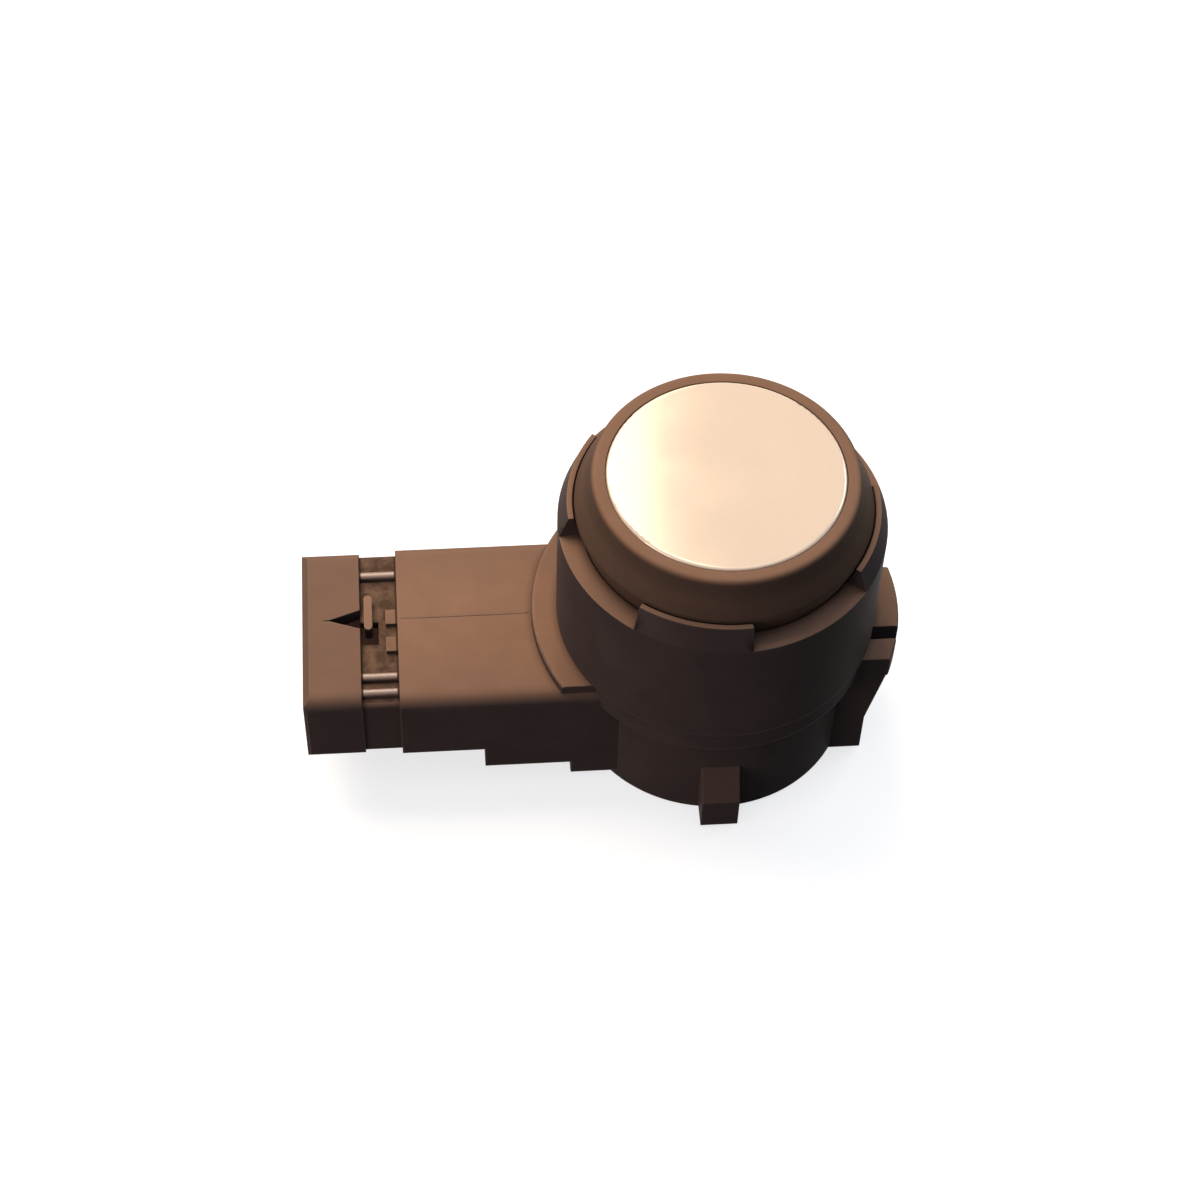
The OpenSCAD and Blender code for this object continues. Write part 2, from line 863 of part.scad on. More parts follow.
module storage_capacitor() {
    color([0.7, 0.7, 0.72])
        translate([can_at[0], can_at[1], board_top])
            rotate_extrude() {
                square([can_d / 2, can_h - can_round]);
                square([can_d / 2 - can_round, can_h]);
                translate([can_d / 2 - can_round, can_h - can_round])
                    circle(can_round);
            }
}

module protection_diode() {
    color([0.11, 0.11, 0.12])
        board_part(diode_at, diode_l, diode_w, diode_h);
}

// Four ceramic capacitors: a pair beside the contact pins and one at each end of the board
module ceramic_capacitors() {
    half = norm([chip_part_l, chip_part_w]) / 2;
    pair = by_wall(half, 0);
    places = [
        pair + [0, chip_part_w], pair - [0, chip_part_w],
        by_wall(half, ceramic_turn), by_wall(half, -ceramic_turn)
    ];
    color([0.62, 0.5, 0.36])
        for (place = places)
            board_part(place, chip_part_l, chip_part_w, ceramic_h);
}

// Row of resistors between the chip and the transformer
module resistors() {
    row_y = (transformer_at[1] - base_w / 2 + chip_at[1] + chip_w / 2) / 2;
    color([0.12, 0.12, 0.13])
        for (k = [-1, 0, 1])
            board_part(
                [transformer_at[0] + k * resistor_pitch, row_y],
                chip_part_l, chip_part_w, resistor_h
            );
}

module supply_terminal() {
    color([0.76, 0.72, 0.64])
        terminal_bar(terminal_pitch);
}

module data_terminal() {
    color([0.76, 0.72, 0.64])
        terminal_bar(0);
}

module ground_terminal() {
    color([0.76, 0.72, 0.64])
        terminal_bar(-terminal_pitch);
}

housing();
rear_cover();
sealing_compound();
decoupling_ring();
membrane_cup();
stiffening_ring();
piezo_disc();
damping_pad();
contact_carrier();
signal_pin();
ground_pin();
signal_lead();
ground_lead();
circuit_board();
control_chip();
transformer_base();
transformer_core();
transformer_winding();
storage_capacitor();
protection_diode();
ceramic_capacitors();
resistors();
supply_terminal();
data_terminal();
ground_terminal();
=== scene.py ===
import json
import math
import bpy
import numpy as np
from mathutils import Matrix, Vector


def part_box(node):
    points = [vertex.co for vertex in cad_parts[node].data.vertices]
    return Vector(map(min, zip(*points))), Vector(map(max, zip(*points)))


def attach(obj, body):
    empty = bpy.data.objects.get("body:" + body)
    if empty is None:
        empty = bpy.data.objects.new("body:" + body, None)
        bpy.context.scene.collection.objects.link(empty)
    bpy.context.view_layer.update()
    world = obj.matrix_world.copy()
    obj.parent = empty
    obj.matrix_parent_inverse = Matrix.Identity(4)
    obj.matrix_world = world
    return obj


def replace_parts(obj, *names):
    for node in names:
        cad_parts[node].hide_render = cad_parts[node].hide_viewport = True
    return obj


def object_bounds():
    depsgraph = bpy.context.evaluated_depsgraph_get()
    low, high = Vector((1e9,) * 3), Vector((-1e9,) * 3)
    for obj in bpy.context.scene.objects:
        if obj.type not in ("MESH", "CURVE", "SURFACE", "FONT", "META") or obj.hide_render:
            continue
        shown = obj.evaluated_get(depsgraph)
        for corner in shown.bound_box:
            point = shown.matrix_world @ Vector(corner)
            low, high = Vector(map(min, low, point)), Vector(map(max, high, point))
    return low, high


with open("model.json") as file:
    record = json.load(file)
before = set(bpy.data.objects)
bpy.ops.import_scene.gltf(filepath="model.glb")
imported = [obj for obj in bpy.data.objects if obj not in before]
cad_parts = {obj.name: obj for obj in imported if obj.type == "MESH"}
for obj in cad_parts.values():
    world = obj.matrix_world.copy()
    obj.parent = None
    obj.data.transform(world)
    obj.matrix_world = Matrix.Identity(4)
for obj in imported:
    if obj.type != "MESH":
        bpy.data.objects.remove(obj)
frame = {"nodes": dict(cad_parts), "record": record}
cadLow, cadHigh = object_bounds()  # the CAD box, before anything is added
nodes = frame["nodes"]
scene = bpy.context.scene
scene.view_settings.view_transform = "Standard"
mm = 0.001
print("frame loaded:", len(nodes), "nodes")


# Camera: looks down on the sounding face from in front, as the photograph does
photoView = {
    "azimuth": -5.66,  # degrees round from straight in front
    "elevation": 53.62,  # degrees above the horizon
    "roll": 2.04,
    "distance": 180 * mm,  # from the sounding face
    "aside": (-8.26 * mm, -8.27 * mm),  # the picture's middle, right and up from the face's middle
    "lens": 82.95,
    "sensor": 36.0,
    "clip": (9 * mm, 18.0),  # nearest and furthest that it sees
}


# right, up and back of a camera at these angles, as the columns of a turn
def viewTurn(azimuth, elevation, roll):
    a, e, r = (math.radians(x) for x in (azimuth, elevation, roll))
    back = Vector((math.sin(a) * math.cos(e), -math.cos(a) * math.cos(e), math.sin(e)))
    level = Vector((math.cos(a), math.sin(a), 0))
    upright = back.cross(level)
    right = level * math.cos(r) + upright * math.sin(r)
    up = upright * math.cos(r) - level * math.sin(r)
    return Matrix((right, up, back)).transposed()


def faceMiddle():
    low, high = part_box("membrane_cup")
    return Vector(((low.x + high.x) / 2, (low.y + high.y) / 2, high.z))


def addCamera(view):
    data = bpy.data.cameras.new("photoCamera")
    data.lens = view["lens"]
    data.sensor_width = view["sensor"]
    data.clip_start, data.clip_end = view["clip"]
    turn = viewTurn(view["azimuth"], view["elevation"], view["roll"])
    place = faceMiddle() + turn @ Vector((*view["aside"], view["distance"]))
    camera = bpy.data.objects.new("photoCamera", data)
    camera.matrix_world = Matrix.Translation(place) @ turn.to_4x4()
    scene.collection.objects.link(camera)
    scene.camera = camera


addCamera(photoView)
print("camera placed")


# Small helpers for shader nodes
def addNode(tree, kind, **values):
    node = tree.nodes.new(kind)
    for key, value in values.items():
        setattr(node, key, value)
    return node


def setInputs(node, **values):
    for key, value in values.items():
        node.inputs[key].default_value = value
    return node


def mathNode(tree, operation, first, second=None, clamp=False):
    node = addNode(tree, "ShaderNodeMath", operation=operation, use_clamp=clamp)
    for index, value in enumerate((first, second)):
        if value is None:
            continue
        if isinstance(value, (int, float)):
            node.inputs[index].default_value = value
        else:
            tree.links.new(value, node.inputs[index])
    return node.outputs[0]


# blend of two colours, each a colour or an output of another node; a Mix node's colours are its sockets
# 6 and 7, and their blend is its output 2
def mixColour(tree, factor, first, second):
    node = addNode(tree, "ShaderNodeMix", data_type="RGBA")
    for socket, value in ((node.inputs[0], factor), (node.inputs[6], first), (node.inputs[7], second)):
        if isinstance(value, tuple):
            socket.default_value = (*value, 1)
        else:
            tree.links.new(value, socket)
    return node.outputs[2]


# straight line from low, at the start of the span, to high, at its end, and level beyond both
def mapRange(tree, value, span, low=0.0, high=1.0):
    node = addNode(tree, "ShaderNodeMapRange")
    for index, number in enumerate((*span, low, high), 1):
        node.inputs[index].default_value = number
    tree.links.new(value, node.inputs[0])
    return node.outputs[0]


# new shader node group, where every input is a number, and every output but a Normal is one too
def newGroup(name, inputs, outputs):
    group = bpy.data.node_groups.new(name, "ShaderNodeTree")
    for label in inputs:
        group.interface.new_socket(label, in_out="INPUT", socket_type="NodeSocketFloat")
    for label in outputs:
        kind = "NodeSocketVector" if label == "Normal" else "NodeSocketFloat"
        group.interface.new_socket(label, in_out="OUTPUT", socket_type=kind)
    return group, group.nodes.new("NodeGroupInput"), group.nodes.new("NodeGroupOutput")


def objectSpot(tree):
    return addNode(tree, "ShaderNodeTexCoord").outputs["Object"]


def splitAxes(tree, vector):
    node = addNode(tree, "ShaderNodeSeparateXYZ")
    tree.links.new(vector, node.inputs[0])
    return node.outputs


# Moulded grain: fine bumps, and a slow change of shade across the piece
grainShape = {
    "grain": {"Detail": 3.0, "Roughness": 0.6},
    "mottle": {"Detail": 4.0, "Roughness": 0.55},
    "mottleRange": (0.3, 0.7),  # noise where the shade is darkest, and where it is palest
}


def makeGrainGroup(shape):
    group, entry, leave = newGroup("mouldedGrain", ["Grain Scale", "Mottle Scale"], ["Height", "Mottle"])
    spot = objectSpot(group)
    grain = setInputs(addNode(group, "ShaderNodeTexNoise"), **shape["grain"])
    mottle = setInputs(addNode(group, "ShaderNodeTexNoise"), **shape["mottle"])
    for noise, label in ((grain, "Grain Scale"), (mottle, "Mottle Scale")):
        group.links.new(spot, noise.inputs["Vector"])
        group.links.new(entry.outputs[label], noise.inputs["Scale"])
    group.links.new(grain.outputs[0], leave.inputs["Height"])
    group.links.new(mapRange(group, mottle.outputs[0], shape["mottleRange"]), leave.inputs["Mottle"])
    return group


# Dust and painted top light: a paler layer on what faces up, partly dust and partly painted light that stands
# in for the light falling on top faces; thinner where a patchy noise is low; and thinned, as painted shade,
# away from the middle plane and in front of a place along X
dustAndTopLightShape = {
    "facing": (0.35, 0.95),  # upward share of the normal where the pale layer (dust and painted top light) begins, and where it is full
    "patch": {"Detail": 5.0, "Roughness": 0.6},
    "patchRange": (0.25, 0.75),  # noise where the film is thinnest, and where it is whole
    "thinnest": 0.82,
    "wearAndPaintedLight": (2 * mm, 9.5 * mm),  # distance from the middle plane where the thinning (painted shade) begins, and where it is full
}


def makeDustAndTopLightGroup(shape):
    group, entry, leave = newGroup(
        "dustAndPaintedTopLight", ["Amount", "Patch Scale", "Thinning", "Front Shade To", "Front Shade"], ["Film"]
    )
    spot = objectSpot(group)
    axes = splitAxes(group, spot)
    away = mapRange(group, mathNode(group, "ABSOLUTE", axes["Y"]), shape["wearAndPaintedLight"])
    wearAndPaintedLight = mathNode(group, "MULTIPLY", away, entry.outputs["Thinning"])
    front = mathNode(group, "LESS_THAN", axes["X"], entry.outputs["Front Shade To"])
    frontShade = mathNode(group, "MULTIPLY", front, entry.outputs["Front Shade"])
    kept = mathNode(group, "SUBTRACT", 1.0, mathNode(group, "MAXIMUM", wearAndPaintedLight, frontShade))
    normal = addNode(group, "ShaderNodeNewGeometry").outputs["Normal"]
    facing = mapRange(group, splitAxes(group, normal)["Z"], shape["facing"])
    patch = setInputs(addNode(group, "ShaderNodeTexNoise"), **shape["patch"])
    group.links.new(spot, patch.inputs["Vector"])
    group.links.new(entry.outputs["Patch Scale"], patch.inputs["Scale"])
    thick = mapRange(group, patch.outputs[0], shape["patchRange"], shape["thinnest"])
    dustAndLightShare = mathNode(group, "MULTIPLY", mathNode(group, "MULTIPLY", facing, thick), entry.outputs["Amount"])
    group.links.new(mathNode(group, "MULTIPLY", dustAndLightShare, kept), leave.inputs["Film"])
    return group


# Edge share: where the rounded normal leaves the flat one; the materials paint the surface a little paler
# there, partly wear and partly a painted highlight
edgeShape = {
    "samples": 4,
    "agreement": (1.0, 0.8),  # dot product of the two normals where the edge share begins, and where it is full
}


def makeEdgeGroup(shape):
    group, entry, leave = newGroup("edgeShareAndNormal", ["Radius"], ["Rub", "Normal"])
    bevel = addNode(group, "ShaderNodeBevel", samples=shape["samples"])
    group.links.new(entry.outputs["Radius"], bevel.inputs["Radius"])
    flat = addNode(group, "ShaderNodeNewGeometry").outputs["Normal"]
    dot = addNode(group, "ShaderNodeVectorMath", operation="DOT_PRODUCT")
    group.links.new(bevel.outputs[0], dot.inputs[0])
    group.links.new(flat, dot.inputs[1])
    group.links.new(mapRange(group, dot.outputs["Value"], shape["agreement"]), leave.inputs["Rub"])
    group.links.new(bevel.outputs[0], leave.inputs["Normal"])
    return group


# Lock groove: between two places along X on the socket's top, polished on its outer ribs, and painted darker
# on its floor and at its ends in noisy streaks, a painted shade of the recess
grooveShape = {
    "lowest": -0.1 * mm,  # lowest height that counts as the groove, measured up from its floor
    "streaks": {"Scale": 1500.0, "Detail": 3.0},
    "streakRange": (0.3, 0.6),  # noise where the floor has least painted shade, and where it has most
    "streakShade": (0.45, 0.95),  # that least and most
    "polishRise": (0.6, 0.9),  # share of the way up where the polish begins, and where it is full
    "shadeRise": (0.9, 0.3),  # share of the way up where the painted shade begins, and where it is full
}


def makeGrooveGroup(shape):
    group, entry, leave = newGroup(
        "lockGroove", ["From", "To", "Floor", "Top", "Beyond", "Seam"], ["Polish", "Painted Shade"]
    )
    spot = objectSpot(group)
    axes = splitAxes(group, spot)
    past = mathNode(group, "SUBTRACT", axes["X"], entry.outputs["From"])
    short = mathNode(group, "SUBTRACT", entry.outputs["To"], axes["X"])
    inside = mathNode(group, "MINIMUM", past, short)
    band = mathNode(group, "GREATER_THAN", inside, 0.0)
    nearEnd = mathNode(group, "LESS_THAN", inside, entry.outputs["Seam"])
    outer = mathNode(group, "GREATER_THAN", mathNode(group, "ABSOLUTE", axes["Y"]), entry.outputs["Beyond"])
    depth = mathNode(group, "SUBTRACT", entry.outputs["Top"], entry.outputs["Floor"])
    above = mathNode(group, "SUBTRACT", axes["Z"], entry.outputs["Floor"])
    rise = mathNode(group, "DIVIDE", above, depth, clamp=True)
    band = mathNode(group, "MULTIPLY", band, mathNode(group, "GREATER_THAN", above, shape["lowest"]))
    streaks = setInputs(addNode(group, "ShaderNodeTexNoise"), **shape["streaks"])
    group.links.new(spot, streaks.inputs["Vector"])
    patchy = mapRange(group, streaks.outputs[0], shape["streakRange"], *shape["streakShade"])
    shine = mathNode(group, "MULTIPLY", outer, mapRange(group, rise, shape["polishRise"]))
    recessShade = mathNode(group, "MULTIPLY", mapRange(group, rise, shape["shadeRise"]), patchy)
    recessShade = mathNode(group, "MAXIMUM", recessShade, nearEnd)
    group.links.new(mathNode(group, "MULTIPLY", band, shine), leave.inputs["Polish"])
    group.links.new(mathNode(group, "MULTIPLY", band, recessShade), leave.inputs["Painted Shade"])
    return group


# Corner shade: painted shade where a surface looks into a hollow
cornerShadeShape = {
    "samples": 6,
    "openness": (0.92, 0.45),  # open share of the view where the painted shade begins, and where it is full
}


def makeCornerShadeGroup(shape):
    group, entry, leave = newGroup("paintedCornerShade", ["Reach"], ["Painted Shade"])
    hollow = addNode(group, "ShaderNodeAmbientOcclusion", samples=shape["samples"])
    group.links.new(entry.outputs["Reach"], hollow.inputs["Distance"])
    group.links.new(mapRange(group, hollow.outputs["AO"], shape["openness"]), leave.inputs["Painted Shade"])
    return group


grainGroup = makeGrainGroup(grainShape)
dustAndTopLightGroup = makeDustAndTopLightGroup(dustAndTopLightShape)
edgeGroup = makeEdgeGroup(edgeShape)
grooveGroup = makeGrooveGroup(grooveShape)
cornerShadeGroup = makeCornerShadeGroup(cornerShadeShape)
print("shared effects made")


def useGroup(tree, group, values):
    return setInputs(addNode(tree, "ShaderNodeGroup", node_tree=group), **values)


def newMaterial(name):
    material = bpy.data.materials.new(name)
    material.use_nodes = True
    tree = material.node_tree
    return material, tree, tree.nodes["Principled BSDF"]


# Moulded plastic or rubber: dark base, mottled; paler where it faces up, partly dust and partly painted top
# light;
# painted paler along its edges, partly wear and partly a painted highlight; painted shade in hollows
def mouldedMaterial(name, look):
    material, tree, shader = newMaterial(name)
    grain = useGroup(tree, grainGroup, look["grain"])
    dustAndTopLight = useGroup(tree, dustAndTopLightGroup, look["dustAndTopLight"])
    edge = useGroup(tree, edgeGroup, {"Radius": look["edge"]})
    base = mixColour(tree, grain.outputs["Mottle"], look["dark"], look["pale"])
    # paler where it faces up: partly dust, partly painted light standing for the light on top faces
    dustyAndLit = mixColour(tree, dustAndTopLight.outputs["Film"], base, look["dustAndTopLightColour"])
    # edges painted paler: partly wear, partly a painted highlight
    edgeHighlightAndWear = mathNode(tree, "MULTIPLY", edge.outputs["Rub"], look["edgeHighlightAndWear"])
    wearAndPaintedLight = mixColour(tree, edgeHighlightAndWear, dustyAndLit, look["edgeHighlightAndWearColour"])
    gloss = mathNode(tree, "MULTIPLY", edge.outputs["Rub"], look["edgeCoat"])
    # painted shade in hollows and in the lock groove, which also takes the coat away there
    corner = useGroup(tree, cornerShadeGroup, {"Reach": look["paintedShadeReach"]})
    paintedShade = mathNode(tree, "MULTIPLY", corner.outputs["Painted Shade"], look["paintedShade"])
    if "groove" in look:
        groove = useGroup(tree, grooveGroup, look["groove"])
        gloss = mathNode(tree, "MAXIMUM", gloss, groove.outputs["Polish"])
        paintedShade = mathNode(tree, "MAXIMUM", paintedShade, groove.outputs["Painted Shade"])
    tree.links.new(mixColour(tree, paintedShade, wearAndPaintedLight, look["paintedShadeColour"]), shader.inputs["Base Color"])
    unshaded = mathNode(tree, "SUBTRACT", 1.0, paintedShade, clamp=True)
    tree.links.new(mathNode(tree, "MULTIPLY", gloss, unshaded), shader.inputs["Coat Weight"])
    dull = mapRange(tree, grain.outputs["Mottle"], (0.0, 1.0), *look["roughness"])
    tree.links.new(dull, shader.inputs["Roughness"])
    bump = setInputs(addNode(tree, "ShaderNodeBump"), Strength=look["bump"], Distance=look["bumpDepth"])
    tree.links.new(grain.outputs["Height"], bump.inputs["Height"])
    tree.links.new(edge.outputs["Normal"], bump.inputs["Normal"])
    tree.links.new(bump.outputs[0], shader.inputs["Normal"])
    shader.inputs["Specular IOR Level"].default_value = look["specular"]
    shader.inputs["Coat Roughness"].default_value = look["coatRoughness"]
    shader.inputs["Coat IOR"].default_value = look["coatIndex"]
    return material


# highest point of a CAD node between two places along X
def topBetween(node, start, end):
    points = np.empty(3 * len(nodes[node].data.vertices))
    nodes[node].data.vertices.foreach_get("co", points)
    points = points.reshape(-1, 3)
    inside = (points[:, 0] > start) & (points[:, 0] < end)
    return points[inside, 2].max()


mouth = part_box("housing")[0].x  # the plug socket's open end
grooveFrom = mouth + 3.97 * mm
grooveTo = mouth + 6.58 * mm
grooveDepth = 0.45 * mm
socketTop = topBetween("housing", mouth, grooveTo)
housingLook = {
    "dark": (0.05, 0.038, 0.036),
    "pale": (0.064, 0.049, 0.045),
    "grain": {"Grain Scale": 5200.0, "Mottle Scale": 260.0},
    "roughness": (0.42, 0.54),
    "bump": 0.25,
    "bumpDepth": 0.02 * mm,
    "specular": 0.004,
    "dustAndTopLight": {
        "Amount": 0.75,
        "Patch Scale": 350.0,
        "Thinning": 0.36,  # share of the pale layer that is gone at the sides, a painted shade there
        "Front Shade To": grooveFrom,
        "Front Shade": 0.36,  # share that is gone in front of the groove, a painted shade there
    },
    # pale colour on faces that look up, partly dust and partly painted top light
    "dustAndTopLightColour": (0.31, 0.175, 0.111),
    "edge": 0.14 * mm,
    # edges painted paler, partly wear and partly a painted highlight
    "edgeHighlightAndWear": 0.13,
    "edgeHighlightAndWearColour": (0.26, 0.16, 0.1),
    "edgeCoat": 0.2,
    "coatRoughness": 0.22,
    "coatIndex": 1.65,
    # painted shade in hollows and corners: its strength, reach and colour
    "paintedShade": 0.6,
    "paintedShadeReach": 0.6 * mm,
    "paintedShadeColour": (0.065, 0.04, 0.028),
    "groove": {
        "From": grooveFrom,
        "To": grooveTo,
        "Floor": socketTop - grooveDepth,
        "Top": socketTop,
        "Beyond": 3.5 * mm,  # from the middle plane to where the ribs are polished
        "Seam": 0.16 * mm,  # width of the painted shade at both ends
    },
}
ringLook = {
    "dark": (0.062, 0.04, 0.029),
    "pale": (0.076, 0.049, 0.036),
    "grain": {"Grain Scale": 7000.0, "Mottle Scale": 300.0},
    "roughness": (0.5, 0.62),
    "bump": 0.15,
    "bumpDepth": 0.015 * mm,
    "specular": 0.012,
    "dustAndTopLight": {"Amount": 0.7, "Patch Scale": 350.0},
    # pale colour on faces that look up, partly dust and partly painted top light
    "dustAndTopLightColour": (0.275, 0.155, 0.1),
    "edge": 0.1 * mm,
    # edges painted paler, partly wear and partly a painted highlight
    "edgeHighlightAndWear": 0.2,
    "edgeHighlightAndWearColour": (0.22, 0.13, 0.08),
    "edgeCoat": 0.1,
    "coatRoughness": 0.35,
    "coatIndex": 1.5,
    # painted shade in hollows and corners: its strength, reach and colour
    "paintedShade": 0.5,
    "paintedShadeReach": 0.5 * mm,
    "paintedShadeColour": (0.04, 0.024, 0.017),
}


# Silver paint: fine bright flakes in a satin coat, with a slow change of shade
paintLook = {
    "dark": (0.66, 0.527, 0.405),
    "pale": (0.725, 0.588, 0.457),
    "flakeScale": 14000.0,
    "flakeTilt": 0.03,
    "flakeDepth": 0.004 * mm,
    "cloud": {"Scale": 160.0, "Detail": 4.0},
    "cloudRange": (0.3, 0.7),  # noise where the paint is smoothest, and where it is roughest
    "metallic": 0.23,
    "roughness": (0.06, 0.14),
}


def paintMaterial(name, look):
    material, tree, shader = newMaterial(name)
    spot = objectSpot(tree)
    flakes = setInputs(addNode(tree, "ShaderNodeTexVoronoi"), Scale=look["flakeScale"])
    cloud = setInputs(addNode(tree, "ShaderNodeTexNoise"), **look["cloud"])
    tree.links.new(spot, flakes.inputs["Vector"])
    tree.links.new(spot, cloud.inputs["Vector"])
    tint = flakes.outputs["Color"]
    mean = mathNode(tree, "MULTIPLY", mathNode(tree, "ADD", tint, cloud.outputs[0]), 0.5)
    tree.links.new(mixColour(tree, mean, look["dark"], look["pale"]), shader.inputs["Base Color"])
    bump = setInputs(
        addNode(tree, "ShaderNodeBump"), Strength=look["flakeTilt"], Distance=look["flakeDepth"]
    )
    tree.links.new(tint, bump.inputs["Height"])
    tree.links.new(bump.outputs[0], shader.inputs["Normal"])
    satin = mapRange(tree, cloud.outputs[0], look["cloudRange"], *look["roughness"])
    tree.links.new(satin, shader.inputs["Roughness"])
    shader.inputs["Metallic"].default_value = look["metallic"]
    return material


# Plain finishes of the inside and the rear: a mottled colour with a little grain, and less shine where a
# specular level is given
innerGrain = {
    "grain": {"Grain Scale": 6000.0, "Mottle Scale": 500.0},
    "deepest": 0.85,  # share of the colour that stays where the mottle is darkest
    "spread": 0.05,  # roughness to either side of its middle
    "bump": 0.15,
    "bumpDepth": 0.01 * mm,
    "specular": 0.5,
}
innerLooks = {
    "cover_plastic": {"colour": (0.05, 0.039, 0.036), "metallic": 0.0, "roughness": 0.5, "specular": 0.03},
    "compound": {"colour": (0.02, 0.02, 0.022), "metallic": 0.0, "roughness": 0.35, "specular": 0.1},
    "ring_metal": {"colour": (0.55, 0.55, 0.53), "metallic": 1.0, "roughness": 0.35},
    "ceramic": {"colour": (0.6, 0.55, 0.4), "metallic": 0.0, "roughness": 0.55},
    "foam": {"colour": (0.1, 0.1, 0.11), "metallic": 0.0, "roughness": 0.85},
    "carrier_plastic": {"colour": (0.04, 0.04, 0.045), "metallic": 0.0, "roughness": 0.5},
    "contact_metal": {"colour": (0.72, 0.55, 0.24), "metallic": 1.0, "roughness": 0.28},
    "red_lead": {"colour": (0.42, 0.03, 0.02), "metallic": 0.0, "roughness": 0.4},
    "black_lead": {"colour": (0.02, 0.02, 0.02), "metallic": 0.0, "roughness": 0.4},
    "board": {"colour": (0.02, 0.12, 0.05), "metallic": 0.0, "roughness": 0.35},
    "chip_resin": {"colour": (0.018, 0.018, 0.02), "metallic": 0.0, "roughness": 0.55},
    "ferrite": {"colour": (0.06, 0.058, 0.055), "metallic": 0.0, "roughness": 0.6},
    "copper_wire": {"colour": (0.62, 0.24, 0.08), "metallic": 1.0, "roughness": 0.35},
    "can_metal": {"colour": (0.68, 0.68, 0.7), "metallic": 1.0, "roughness": 0.3},
    "ceramic_chip": {"colour": (0.36, 0.22, 0.11), "metallic": 0.0, "roughness": 0.5},
    "terminal_metal": {"colour": (0.66, 0.62, 0.55), "metallic": 1.0, "roughness": 0.3},
}


def innerMaterial(name, look, shared):
    material, tree, shader = newMaterial(name)
    grain = useGroup(tree, grainGroup, shared["grain"])
    mottle = grain.outputs["Mottle"]
    deep = tuple(c * shared["deepest"] for c in look["colour"])
    tree.links.new(mixColour(tree, mottle, deep, look["colour"]), shader.inputs["Base Color"])
    smooth, rough = look["roughness"] - shared["spread"], look["roughness"] + shared["spread"]
    tree.links.new(mapRange(tree, mottle, (0.0, 1.0), smooth, rough), shader.inputs["Roughness"])
    bump = setInputs(addNode(tree, "ShaderNodeBump"), Strength=shared["bump"], Distance=shared["bumpDepth"])
    tree.links.new(grain.outputs["Height"], bump.inputs["Height"])
    tree.links.new(bump.outputs[0], shader.inputs["Normal"])
    shader.inputs["Metallic"].default_value = look["metallic"]
    shader.inputs["Specular IOR Level"].default_value = look.get("specular", shared["specular"])
    return material


finishes = {name: innerMaterial(name, look, innerGrain) for name, look in innerLooks.items()}
finishes["housing_plastic"] = mouldedMaterial("housing_plastic", housingLook)
finishes["ring_rubber"] = mouldedMaterial("ring_rubber", ringLook)
finishes["silver_paint"] = paintMaterial("silver_paint", paintLook)
for part in frame["record"]["subparts"]:
    mesh = nodes[part["node"]].data
    mesh.materials.clear()
    mesh.materials.append(finishes[part["material_slot"]])
print("finishes set:", len(finishes))


def addPiece(name, points, faces, finish):
    mesh = bpy.data.meshes.new(name)
    mesh.from_pydata(points.tolist(), [], faces)
    mesh.shade_smooth()
    mesh.materials.append(finishes[finish])
    piece = bpy.data.objects.new(name, mesh)
    scene.collection.objects.link(piece)
    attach(piece, "root")
    return piece


# faces of a grid of points that closes on itself along its rows, and along its columns too if asked
def gridFaces(rows, columns, closed):
    index = np.arange(rows * columns).reshape(rows, columns)
    following = np.roll(index, -1, 0)
    if not closed:
        index, following = index[:-1], following[:-1]
    quad = [index, np.roll(index, -1, 1), np.roll(following, -1, 1), following]
    return np.stack(quad, 2).reshape(-1, 4).tolist()


# equal steps round a full turn
def turnSteps(count):
    return np.linspace(0, 2 * math.pi, count, endpoint=False)


# Ring sleeve: the rubber round the cup, with a narrow lip and a shoulder that fills the ring of teeth
sleeveLook = {
    "lip": 0.9 * mm,  # out from the cup's wall to the lip's corner
    "shoulderOut": 1.26 * mm,
    "shoulderDown": 1.1 * mm,  # below the lip
    "skirtOut": 2.07 * mm,  # the widest place, at the teeth's tops
    "skirtDown": 2.88 * mm,
    "waistOut": 1.52 * mm,
    "waistDown": 4.6 * mm,
    "seat": 0.8 * mm,  # how far the floor reaches in under the contact carrier
    "clearance": 0.02 * mm,
    "rounding": (0.1, 0.1, 0.3, 0.25, 0.6, 0.36, 0.06, 0.1, 0.1),  # mm, corner by corner
    "steps": 10,
    "around": 192,
}


# Each corner becomes a curve: at s, the share (1 - s) squared of the point before it, 2 s (1 - s) of the
# corner and s squared of the point after it, where both points lie the rounding away along the sides
def roundedLoop(corners, rounding, steps):
    before = np.roll(corners, 1, 0) - corners
    after = np.roll(corners, -1, 0) - corners
    leave = corners + before / np.linalg.norm(before, axis=1, keepdims=True) * rounding[:, None]
    join = corners + after / np.linalg.norm(after, axis=1, keepdims=True) * rounding[:, None]
    s = np.linspace(0, 1, steps)[:, None]
    curve = (1 - s) ** 2 * leave[:, None] + 2 * s * (1 - s) * corners[:, None] + s ** 2 * join[:, None]
    return curve.reshape(-1, 2)


